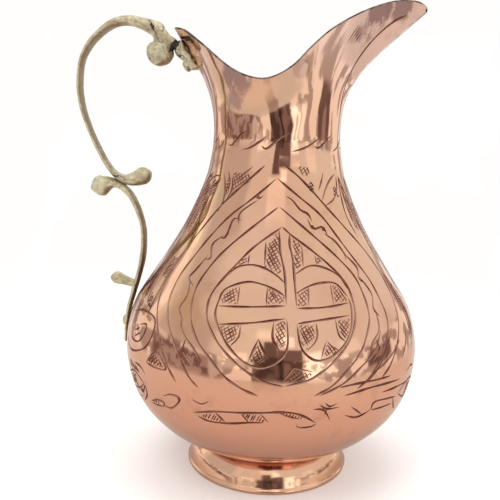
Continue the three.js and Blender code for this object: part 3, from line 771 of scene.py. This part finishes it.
def keep_modifiers_result(obj):
    """Puts the modifiers' result into the mesh."""
    graph = bpy.context.evaluated_depsgraph_get()
    done = bpy.data.meshes.new_from_object(obj.evaluated_get(graph))
    obj.modifiers.clear()
    old = obj.data
    obj.data = done
    bpy.data.meshes.remove(old)
    done.shade_smooth()


def back_of_wall(v):
    """A point on the wall behind the handle, and the way out from it, both as (x, z)."""
    angle, v = np.array([math.pi]), np.array([v])
    point, normal = wall(angle, v)[0], normals_of(wall, angle, v)[0]
    return point[[0, 2]], normal[[0, 2]]


def lip_place(share):
    """The back of the mouth at a share of its height."""
    return back_of_wall(NECK_V + MOUTH_SPAN * share)


def lug_spine():
    """The lug lies along the back of the lip, sunk a little into it."""
    spine = []
    for share, thick in LUG:
        point, out = lip_place(share)
        x, z = point + out * (thick / 2 - LUG_SUNK)
        spine.append((x, z, thick))
    return spine


def wrapped(bar):
    """A bar with its edges bent round the back of the lip."""
    points, faces = bar
    return [(x + w * w / (2 * LUG_BEND), w, z) for x, w, z in points], faces


def rivet(name, place, out, lift):
    """A hammered round head standing on a surface."""
    rng = np.random.default_rng(len(name) + int(place[1]))
    dents = rng.uniform(-RIVET_DENTS, RIVET_DENTS, 5)
    outward = Vector((out[0], 0, out[1]))
    base = Vector((place[0], 0, place[1])) + outward * lift
    turn = outward.to_track_quat("Z", "Y").to_matrix()
    segments = 28
    points = []
    for share, up in RIVET_RINGS:
        for a in circle(segments):
            dented = 1 + sum(depth * math.sin((n + 2) * a) for n, depth in enumerate(dents))
            r = RIVET_RADIUS * share * dented
            points.append(base + turn @ Vector((r * math.cos(a), r * math.sin(a), RIVET_HEIGHT * up)))
    faces = [*grid_faces(len(RIVET_RINGS), segments), last_ring(len(RIVET_RINGS), segments)]
    return add_mesh(name, [tuple(p) for p in points], faces)


# ---------------------------------------------------------------- materials
class Nodes:
    """Short names for building nodes. Each kind below sets place, the vector that its noise follows."""

    def __init__(self, owner):
        self.owner = owner
        owner.use_nodes = True
        self.tree = owner.node_tree

    def add(self, kind, **settings):
        node = self.tree.nodes.new(kind)
        for key, value in settings.items():
            setattr(node, key, value)
        return node

    def link(self, source, target):
        self.tree.links.new(source, target)

    def feed(self, value, socket):
        """Links an output to a socket, or sets the socket to a number or a colour."""
        if isinstance(value, tuple):
            socket.default_value = (*value, 1)
        elif isinstance(value, (int, float)):
            socket.default_value = value
        else:
            self.link(value, socket)

    def math(self, kind, a, b=0.0):
        node = self.add("ShaderNodeMath", operation=kind)
        self.feed(a, node.inputs[0])
        self.feed(b, node.inputs[1])
        return node.outputs[0]

    def times(self, a, b):
        return self.math("MULTIPLY", a, b)

    def plus(self, a, b):
        return self.math("ADD", a, b)

    def ramp(self, source, low, high, first=0.0, last=1.0):
        """A smooth step from first to last between two values of the source."""
        node = self.add("ShaderNodeMapRange", interpolation_type="SMOOTHSTEP")
        for key, value in zip(("From Min", "From Max", "To Min", "To Max"), (low, high, first, last)):
            node.inputs[key].default_value = value
        self.link(source, node.inputs["Value"])
        return node.outputs["Result"]

    def noise(self, scale, detail=3.0, stretch=None, rough=0.5):
        node = self.add("ShaderNodeTexNoise")
        node.inputs["Scale"].default_value = scale
        node.inputs["Detail"].default_value = detail
        node.inputs["Roughness"].default_value = rough
        source = self.place
        if stretch:
            mapping = self.add("ShaderNodeMapping")
            mapping.inputs["Scale"].default_value = stretch
            self.link(source, mapping.inputs["Vector"])
            source = mapping.outputs["Vector"]
        self.link(source, node.inputs["Vector"])
        return node.outputs["Fac"]

    def split(self, vector):
        node = self.add("ShaderNodeSeparateXYZ")
        self.link(vector, node.inputs[0])
        return node.outputs


class Surface(Nodes):
    """The nodes of a material, its patterns following the place on the object in metres."""

    def __init__(self, name, metallic=0.0):
        super().__init__(bpy.data.materials.new(name))
        self.shader = self.tree.nodes["Principled BSDF"]
        self.shader.inputs["Metallic"].default_value = metallic
        self.place = self.add("ShaderNodeNewGeometry").outputs["Position"]

    def mix(self, share, first, second):
        """The first colour, with a share of the second over it."""
        node = self.add("ShaderNodeMix", data_type="RGBA")
        for socket, value in ((0, share), (6, first), (7, second)):
            self.feed(value, node.inputs[socket])
        return node.outputs[2]

    def ragged_height(self, scale, reach):
        """The height, made ragged by noise."""
        return self.plus(self.split(self.place)["Z"], self.times(self.noise(scale, 3), reach))

    def vector_math(self, operation, vector, other, output):
        """One operation on a vector and a fixed one."""
        node = self.add("ShaderNodeVectorMath", operation=operation)
        self.link(vector, node.inputs[0])
        node.inputs[1].default_value = other
        return node.outputs[output]

    def facing(self, way):
        """How far the surface is turned to a direction."""
        normal = self.add("ShaderNodeNewGeometry").outputs["Normal"]
        return self.vector_math("DOT_PRODUCT", normal, way, "Value")

    def near(self, place, reach):
        """One at a point of the object, falling to nothing at a distance."""
        gap = self.vector_math("DISTANCE", self.place, Vector(place) * MM + AXIS, "Value")
        return self.ramp(gap, 0, reach * MM, 1, 0)

    def seam(self, place, across, reach, width):
        """One along a ragged line through a point of the object, square to a direction."""
        offset = self.vector_math("SUBTRACT", self.place, Vector(place) * MM + AXIS, "Vector")
        along = self.vector_math("DOT_PRODUCT", offset, across, "Value")
        ragged = self.times(self.math("SUBTRACT", self.noise(300, 4, rough=0.7), 0.5), 0.007)
        off = self.math("ABSOLUTE", self.plus(along, ragged))
        fading = self.times(self.near(place, reach), width * MM)
        return self.ramp(self.math("SUBTRACT", off, fading), -0.0002, 0.0003, 1, 0)

    def bump(self, height, strength, distance):
        node = self.add("ShaderNodeBump")
        node.inputs["Strength"].default_value = strength
        node.inputs["Distance"].default_value = distance
        self.link(height, node.inputs["Height"])
        self.link(node.outputs["Normal"], self.shader.inputs["Normal"])

    def finish(self, colour, roughness):
        """The material, with its colour and roughness joined to the shader."""
        self.link(colour, self.shader.inputs["Base Color"])
        self.link(roughness, self.shader.inputs["Roughness"])
        return self.owner


# Patches on the jug's copper, alike on both sides: painted reflections, tarnish and one painted shadow. Each
# gives colour, softness, then each one's place, reach and strength.
# Golden patches on the left flank: painted reflection of warm light.
GOLDEN_REFLECTION = ((0.90, 0.64, 0.35), 0.95, [((-31, -25, 150), 20, 0.8), ((-42, -26, 130), 23, 0.8)])
# Amber patches on the left belly: painted reflection of warm light.
AMBER_REFLECTION = (
    (0.78, 0.43, 0.235), 0.95,
    [((-53, -32, 109), 24, 0.95), ((-60, -38, 93), 21, 0.9), ((-38, -54, 101), 27, 0.9)],
)  # fmt: skip
# Dark red patches on the left flank: painted dark reflection.
DARK_RED_REFLECTION = ((0.46, 0.20, 0.15), 0.5, [((-43, -15, 136), 11, 0.8), ((-51, -17, 121), 12, 0.8)])
# Tarnish under the lip and on the spout, and one painted shadow by the lug.
TARNISH_AND_SHADE = (
    (0.40, 0.23, 0.205), 0.5,
    [
        ((58, -12, 243.5), 16, 0.95), ((47, -17, 238), 14, 0.95), ((41, -18, 229), 12, 0.75),
        ((-20, -32, 205), 15, 0.9), ((-21, -27, 195), 10, 0.7), ((10, -33, 210), 8, 0.4),
        # Painted shadow of the lug on the wall behind it.
        ((-49, -3, 224), 11, 1.0),
    ],
)  # fmt: skip


def two_shades(n, light, deep):
    """Soft clouds of two shades of copper."""
    return n.mix(n.ramp(n.noise(22, 4), 0.35, 0.68), light, deep)


def spotted(n, colour, share):
    """Copper with small dark spots."""
    spots = n.times(n.ramp(n.noise(60, 6, rough=0.65), 0.55, 0.75), share)
    return n.mix(spots, colour, (0.36, 0.15, 0.085))


def polished(n, colour, rough):
    """The finished copper, its polish wiped up and down."""
    wiped = n.ramp(n.noise(240, 3, stretch=(1, 1, 0.12)), 0.3, 0.75, rough, rough + 0.04)
    smeared = n.times(n.ramp(n.noise(35, 3), 0.4, 0.75), 0.04)
    scratches = n.times(n.noise(900, 2, stretch=(1, 1, 0.15)), 0.05)
    n.bump(n.plus(n.noise(55, 2), scratches), 0.25, 0.0004)
    return n.finish(colour, n.plus(wiped, smeared))


def jug_copper():
    """Golden clouds, painted reflections (redder low down, a dark red band above the foot, golden, amber and
    dark red patches), a pinker mouth, and tarnish with one painted shadow.
    """
    n = Surface("polished_copper", 1.0)
    colour = two_shades(n, (0.86, 0.525, 0.365), (0.80, 0.455, 0.30))
    golden = n.ramp(n.noise(17, 2, rough=0.4), 0.45, 0.62, 0, 0.45)
    colour = n.mix(golden, colour, (0.90, 0.59, 0.37))
    rise = n.ragged_height(30, 0.02)
    # Painted reflection: the lower belly is painted redder.
    colour = n.mix(n.ramp(rise, 0.062, 0.1, 1, 0), colour, (0.765, 0.41, 0.29))
    # Painted reflection: a dark red band painted just above the foot.
    colour = n.mix(n.ramp(rise, 0.024, 0.042, 0.7, 0), colour, (0.55, 0.21, 0.14))
    colour = n.mix(n.ramp(rise, 0.206, 0.238, 0, 0.85), colour, (0.93, 0.63, 0.52))
    # Noise breaks up the painted reflections and shadow as well as the tarnish.
    patchiness = n.ramp(n.noise(90, 6, stretch=(1, 1, 0.5), rough=0.7), 0.34, 0.62, 0.3, 1)
    for mark, softness, spots in (GOLDEN_REFLECTION, AMBER_REFLECTION, DARK_RED_REFLECTION, TARNISH_AND_SHADE):
        for ((x, y, z), reach, strength), side in itertools.product(spots, (-1, 1)):
            shape = n.times(n.near((x, y * side, z), reach), patchiness)
            colour = n.mix(n.ramp(shape, 0.2, softness, 0, strength), colour, mark)
    return polished(n, spotted(n, colour, 0.3), 0.045)


def base_copper():
    """The dull copper under the jug."""
    n = Surface("plain_copper", 1.0)
    colour = two_shades(n, (0.74, 0.38, 0.26), (0.60, 0.28, 0.18))
    return polished(n, spotted(n, colour, 0.6), 0.3)


def foot_copper():
    """The foot's copper, painted lighter as a reflection of bright surroundings, with a dark band painted
    where it joins the jug as the joint's dark reflection.
    """
    n = Surface("foot_copper", 1.0)
    # Lighter shades: painted reflection of bright surroundings.
    colour = spotted(n, two_shades(n, (0.90, 0.56, 0.385), (0.81, 0.47, 0.30)), 0.35)
    # A dark band at the top of the foot: painted dark reflection at the joint.
    joint_reflection = n.ramp(n.ragged_height(180, 0.001), 0.0125, 0.0145, 0, 0.85)
    return polished(n, n.mix(joint_reflection, colour, (0.55, 0.25, 0.18)), 0.085)


def patina_and_highlight():
    """Dark patina in the cuts, with the side that faces up and towards the handle painted lighter as a
    painted highlight.
    """
    n = Surface("groove_patina_and_highlight", 0.7)
    dark = n.mix(n.ramp(n.noise(300, 3), 0.35, 0.7), (0.12, 0.026, 0.015), (0.25, 0.08, 0.046))
    off_flank = n.ramp(n.split(n.place)["X"], -0.05, -0.032)
    # Painted highlight: facets that face up and towards the handle get a lighter colour, kept off the
    # handle's flank by off_flank.
    lit = n.times(n.ramp(n.facing((-0.35, 0.0, 0.94)), 0.28, 0.66, 0, 0.45), off_flank)
    n.bump(n.noise(1500, 2), 0.3, 0.0001)
    return n.finish(n.mix(lit, dark, (0.82, 0.50, 0.37)), n.ramp(n.noise(700, 2), 0.3, 0.7, 0.34, 0.5))


def dark_edge():
    """The lip's dark edge, lighter at the spout's tip."""
    n = Surface("dark_lip_edge", 0.8)
    colour = n.mix(n.ramp(n.noise(260, 4), 0.42, 0.62), (0.09, 0.06, 0.055), (0.30, 0.22, 0.19))
    lighter_tip = n.ramp(n.near((75, 0, 241), 13), 0.1, 0.45)
    n.bump(n.noise(700, 3), 0.4, 0.0002)
    return n.finish(n.mix(lighter_tip, colour, (0.74, 0.56, 0.50)), n.ramp(n.noise(500, 3), 0.3, 0.7, 0.35, 0.6))


# Painted shadow in the crevices of the castings: a point, the direction across, how far the line runs, its
# width.
CREVICE_SHADOWS = [
    ((-64.4, -4, 230.6), (0.9, 0, 0.43), 9, 0.5), ((-64.4, 4, 230.6), (0.9, 0, 0.43), 9, 0.5),
    ((-53.6, 0, 223), (0.8, 0, -0.6), 7, 3.4), ((-87.6, -4, 155.6), (0.2, 0, 0.98), 9, 1.0),
    ((-87.6, 4, 155.6), (0.2, 0, 0.98), 9, 1.0), ((-67.6, 0, 215.4), (0.75, 0, 0.66), 6, 0.7),
    ((-50.6, -2, 217.6), (0.6, 0, 0.8), 4, 0.7), ((-74.6, 0, 97), (1, 0, 0.2), 5, 0.6),
]  # fmt: skip


def brass():
    """Cast brass, with the sides turned to the jug and downward painted dark brown as painted shade."""
    n = Surface("cast_brass", 0.7)
    colour = n.mix(n.ramp(n.noise(150, 5, rough=0.65), 0.42, 0.6), (0.78, 0.71, 0.50), (0.56, 0.485, 0.31))
    colour = n.mix(n.ramp(n.noise(520, 4, rough=0.75), 0.5, 0.66, 0, 0.6), colour, (0.30, 0.225, 0.14))
    # Painted shade: faces turned to the jug and downward are painted dark brown.
    shaded_side = n.plus(n.facing((0.85, 0.0, -0.5)), n.times(n.noise(170, 4), 0.5))
    colour = n.mix(n.ramp(shaded_side, 0.42, 0.8, 0, 0.78), colour, (0.27, 0.195, 0.12))
    # Near-black lines painted into the crevices as painted shadow.
    for crevice_shadow in CREVICE_SHADOWS:
        colour = n.mix(n.seam(*crevice_shadow), colour, (0.05, 0.045, 0.04))
    n.bump(n.plus(n.noise(260, 4), n.times(n.noise(1400, 3), 0.35)), 0.35, 0.0005)
    return n.finish(colour, n.ramp(n.noise(200, 4), 0.3, 0.75, 0.34, 0.55))


def tin():
    n = Surface("wiped_tin", 1.0)
    colour = n.mix(n.ramp(n.noise(70, 5), 0.35, 0.7), (0.66, 0.65, 0.63), (0.45, 0.43, 0.415))
    n.bump(n.noise(160, 4), 0.3, 0.0004)
    return n.finish(colour, n.ramp(n.noise(120, 4, stretch=(1, 1, 0.3)), 0.3, 0.75, 0.26, 0.46))


def floor_paper():
    """Pale paper that glows faintly as painted light, darker in reflections, and fades into the surroundings
    further out.
    """
    n = Surface("floor_paper")
    paper = n.mix(n.ramp(n.noise(3, 2), 0.3, 0.7), (0.90, 0.875, 0.86), (0.93, 0.91, 0.895))
    reflected = n.add("ShaderNodeLightPath").outputs["Is Glossy Ray"]
    # The paper glows faintly: painted light that lifts the jug's shadow on it.
    n.shader.inputs["Emission Color"].default_value = (1, 0.965, 0.94, 1)
    n.shader.inputs["Emission Strength"].default_value = 0.13
    n.bump(n.noise(900, 2), 0.05, 0.0002)
    n.finish(n.mix(reflected, paper, (0.52, 0.46, 0.41)), n.ramp(n.noise(40, 2), 0.3, 0.7, 0.55, 0.65))
    from_jug = n.add("ShaderNodeVectorMath", operation="LENGTH")
    n.link(n.place, from_jug.inputs[0])
    fade = n.add("ShaderNodeMixShader")
    n.link(n.ramp(from_jug.outputs["Value"], 0.16, 0.62), fade.inputs[0])
    n.link(n.shader.outputs[0], fade.inputs[1])
    n.link(n.add("ShaderNodeBsdfTransparent").outputs[0], fade.inputs[2])
    n.link(fade.outputs[0], n.tree.nodes["Material Output"].inputs["Surface"])
    return n.owner


# ---------------------------------------------------------------- assembly
def build_body(dull_tin):
    base = base_copper()
    outside, lines = engraved_wall()
    belongs(outside, "jug_body", jug_copper())
    belongs(lines, "jug_body", patina_and_highlight())
    tinned, lip = lining()
    belongs(tinned, "jug_body", dull_tin)
    belongs(lip, "jug_body", dark_edge())
    belongs(disc("base_outside", *BASE_OUTSIDE), "jug_body", base)
    belongs(disc("base_inside", *BASE_INSIDE), "jug_body", dull_tin)


def build_foot(dull_tin):
    belongs(turned("foot_ring_turned", FOOT_PROFILE), "foot_ring", foot_copper())
    belongs(turned("foot_solder", FILLET_PROFILE, uneven=0.25), "foot_solder_bead", dull_tin)


def build_handle():
    metal = brass()
    lug = wrapped(sweep(lug_spine(), 30, LUG_HALF_WIDTH))
    bracket = cast("bracket_cast", sweep(STEM, 20), sweep(NECKLET, 14, NECKLET_HALF_WIDTH), lug)
    upper = cast("upper_scroll_cast", sweep(UPPER_SCROLL, 150))
    lower = cast("lower_scroll_cast", sweep(LOWER_SCROLL, 120), sweep(OUTER_BUD, 20))
    belongs(bracket, "handle_bracket", metal)
    belongs(upper, "handle_upper_scroll", metal)
    belongs(lower, "handle_lower_scroll", metal)
    rivets = [(name, *lip_place(share), LUG_TOP) for name, share in UPPER_RIVETS.items()]
    belly_v = np.interp(LOWER_RIVET_Z, PROFILE[:, 1], UNROLLED)
    rivets.append(("lower_rivet", *back_of_wall(belly_v), TANG_TOP))
    for name, point, out, lift in rivets:
        belongs(rivet(name + "_outer", point, out, lift), name, metal)
        belongs(rivet(name + "_inner", point, -out, SHEET), name, metal)


def build_floor():
    half = 900
    corners = [(-half, -half, 0), (half, -half, 0), (half, half, 0), (-half, half, 0)]
    floor = add_mesh("floor", corners, [(0, 1, 2, 3)], smooth=False)
    floor.data.materials.append(floor_paper())


# Soft lights, in metres and watts: name, place, size, power. All of them point at the jug's lower half.
LIGHTS = [
    ("key", (-0.5, -0.6, 1.0), 0.7, 5),
    ("fill", (0.8, -0.3, 0.7), 0.6, 2.5),
    ("top", (0.0, 0.2, 1.2), 0.9, 5),
]
LIT_POINT = (0, 0, 0.1)


def build_lights():
    for name, place, size, power in LIGHTS:
        data = bpy.data.lights.new(name, "AREA")
        data.shape = "RECTANGLE"
        data.size = size
        data.size_y = size
        data.energy = power
        obj = bpy.data.objects.new(name, data)
        obj.location = place
        obj.rotation_euler = (Vector(LIT_POINT) - Vector(place)).to_track_quat("-Z", "Y").to_euler()
        obj.visible_camera = False
        obj.visible_glossy = False
        bpy.context.scene.collection.objects.link(obj)


# Parts of a room, in degrees: turn, half-width, softness, lowest, highest, softness. Last comes the share of
# light held back.
DARKER = [
    (-74, 27, 6, -13, 5, 1.5, 0.55), (-74, 27, 10, 5, 42, 5, 0.26), (-42, 7, 3, -13, 4, 2, 0.35),
    (-122, 4, 3, 8, 30, 4, 0.35), (-145, 14, 8, -8, 40, 6, 0.35), (-1, 11, 2, -12, 10.5, 1.5, 0.82),
    (1, 6, 2, 9, 26, 2, 0.80), (-2, 10, 4, -32, -12, 2, 0.42), (16, 9, 1.5, -12, 17.5, 1, 0.76),
    (91, 13, 2, -6, 4, 1.5, 0.66), (91, 12, 2, 4, 8, 1.5, 0.25),
]  # fmt: skip
# The same, for what is brighter than the room: a share below zero adds light.
LIGHTER = [
    (34, 7, 2, -8, 14, 2, -0.75), (46, 5, 2, -6, 10, 2, -0.3), (2, 14, 5, 30, 42, 4, -0.3),
    (64, 9, 3, 4, 20, 2, -0.2), (-26, 9, 2, -1, 13, 2, -0.45), (-113, 5, 2, 10, 34, 4, -0.35),
    (15, 5, 2, 20, 33, 2, -0.7),
]  # fmt: skip


class Room(Nodes):
    """The nodes of the surroundings, which follow each direction's turn and lift in degrees."""

    def __init__(self, world):
        super().__init__(world)
        self.place = self.add("ShaderNodeTexCoord").outputs["Generated"]
        x, y, z = self.split(self.place)
        # 0 degrees is towards the front of the room, positive to the spout's side.
        self.turn = self.math("DEGREES", self.math("ARCTAN2", x, self.times(y, -1.0)))
        self.lift = self.math("DEGREES", self.math("ARCSINE", z))

    def band(self, low, high, low_soft, high_soft):
        """One between two lifts."""
        above = self.ramp(self.lift, low - low_soft, low + low_soft)
        below = self.ramp(self.lift, high - high_soft, high + high_soft, 1, 0)
        return self.times(above, below)

    def patch(self, centre, half, soft, low, high, rise, share):
        """How much of the light is left by one part of the room."""
        off = self.math("ABSOLUTE", self.math("SUBTRACT", self.turn, centre))
        wide = self.ramp(off, half - soft / 2, half + soft / 2, 1, 0)
        held = self.times(self.times(wide, self.band(low, high, rise, rise)), share)
        return self.math("SUBTRACT", 1.0, held)


def build_surroundings():
    """White to the camera, and a pale room with darker and lighter parts for the polished metal to show."""
    world = bpy.data.worlds.new("surroundings")
    bpy.context.scene.world = world
    room = Room(world)
    level = room.ramp(room.lift, -16, -11, 0.72, 0.86)
    furniture = room.ramp(room.noise(6.5, 2.0), 0.495, 0.515, 1.22, 0.58)
    clutter = room.times(room.band(-12, 8.5, 1, 1.5), room.math("SUBTRACT", furniture, 1.0))
    level = room.times(level, room.plus(1.0, clutter))
    for place in DARKER + LIGHTER:
        level = room.times(level, room.patch(*place))
    to_camera = room.add("ShaderNodeLightPath").outputs["Is Camera Ray"]
    seen = room.math("MAXIMUM", level, to_camera)
    # The darker it is, the warmer.
    green = room.times(seen, room.ramp(seen, 0.1, 0.75, 0.70, 0.99))
    tint = room.add("ShaderNodeCombineColor")
    for socket, value in zip(tint.inputs, (seen, green, room.times(green, 0.985))):
        room.link(value, socket)
    back = room.tree.nodes["Background"]
    room.link(tint.outputs[0], back.inputs["Color"])
    back.inputs["Strength"].default_value = 1.0


# The camera looks along +Y and a little down, in millimetres and degrees.
CAMERA_PLACE = (0, -358.9, 180.0)
CAMERA_LENS = 48.75
CAMERA_SENSOR = 36
CAMERA_PITCH = 9.86
CAMERA_YAW = -1.99
CAMERA_ROLL = -1.62


def build_camera():
    data = bpy.data.cameras.new("camera")
    data.lens = CAMERA_LENS
    data.sensor_width = CAMERA_SENSOR
    camera = bpy.data.objects.new("camera", data)
    bpy.context.scene.collection.objects.link(camera)
    pitch, yaw, roll = (math.radians(angle) for angle in (CAMERA_PITCH, CAMERA_YAW, CAMERA_ROLL))
    forward = Vector((math.sin(yaw) * math.cos(pitch), math.cos(yaw) * math.cos(pitch), -math.sin(pitch)))
    level = Vector((math.cos(yaw), -math.sin(yaw), 0))
    above = level.cross(forward)
    right = math.cos(roll) * level - math.sin(roll) * above
    up = math.sin(roll) * level + math.cos(roll) * above
    turn = Matrix((right, up, -forward)).transposed()
    camera.matrix_world = Matrix.Translation(AXIS + Vector(CAMERA_PLACE) * MM) @ turn.to_4x4()
    bpy.context.scene.camera = camera


tinning = tin()
build_body(tinning)
build_foot(tinning)
build_handle()
build_floor()
build_surroundings()
build_lights()
build_camera()
bpy.context.scene.view_settings.view_transform = "Standard"
